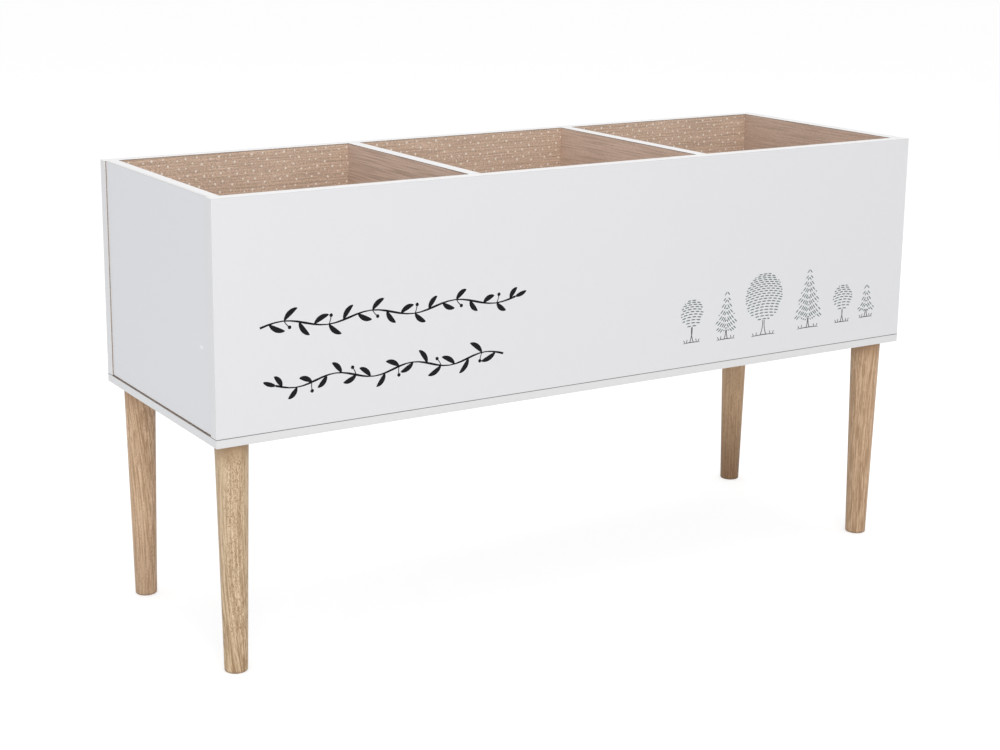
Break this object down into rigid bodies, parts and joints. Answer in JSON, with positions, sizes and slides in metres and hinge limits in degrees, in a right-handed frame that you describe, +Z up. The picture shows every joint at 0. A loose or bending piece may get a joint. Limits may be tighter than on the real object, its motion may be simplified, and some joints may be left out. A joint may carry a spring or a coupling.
{
  "type": "kids bookcase",
  "caption": "Low open-topped bookcase for children: a long white box with oak-lined bays for upright books, on round tapered oak legs.",
  "frame": {"origin": "on the floor, under the middle of the box", "axes": "+Z up, the front face towards -Y, +X along the length to the right as seen from the front"},
  "size_m": [1, 0.33, 0.55],
  "materials": {
    "white_board": "foil-faced board, satin white outside and oak decor inside",
    "oak_foil_board": "foil-faced board, matt oak decor",
    "white_edging": "satin edging strip",
    "solid_oak": "turned, matt clear lacquer",
    "beech": "bare",
    "zinc_plated_steel": "bright zinc plate",
    "zinc_die_cast": "as cast",
    "printed_ink": "screen-printed ink on the front board"
  },
  "bodies": {
    "root": {"front_panel": "white_board", "back_panel": "white_board", "left_side_panel": "white_board", "right_side_panel": "white_board", "base_panel": "white_board", "left_divider": "oak_foil_board", "right_divider": "oak_foil_board", "front_panel_edging": "white_edging", "back_panel_edging": "white_edging", "left_side_edging": "white_edging", "right_side_edging": "white_edging", "left_divider_edging": "white_edging", "right_divider_edging": "white_edging", "base_edging": "white_edging", "front_left_leg": "solid_oak", "front_right_leg": "solid_oak", "rear_left_leg": "solid_oak", "rear_right_leg": "solid_oak", "front_left_hanger_bolt": "zinc_plated_steel", "front_right_hanger_bolt": "zinc_plated_steel", "rear_left_hanger_bolt": "zinc_plated_steel", "rear_right_hanger_bolt": "zinc_plated_steel", "front_left_tee_nut": "zinc_plated_steel", "front_right_tee_nut": "zinc_plated_steel", "rear_left_tee_nut": "zinc_plated_steel", "rear_right_tee_nut": "zinc_plated_steel", "front_cam_bolts": "zinc_plated_steel", "rear_cam_bolts": "zinc_plated_steel", "front_base_screws": "zinc_plated_steel", "rear_base_screws": "zinc_plated_steel", "side_base_screws": "zinc_plated_steel", "divider_base_screws": "zinc_plated_steel", "left_cams": "zinc_die_cast", "right_cams": "zinc_die_cast", "corner_dowels": "beech", "left_divider_dowels": "beech", "right_divider_dowels": "beech"}
  },
  "joints": []
}
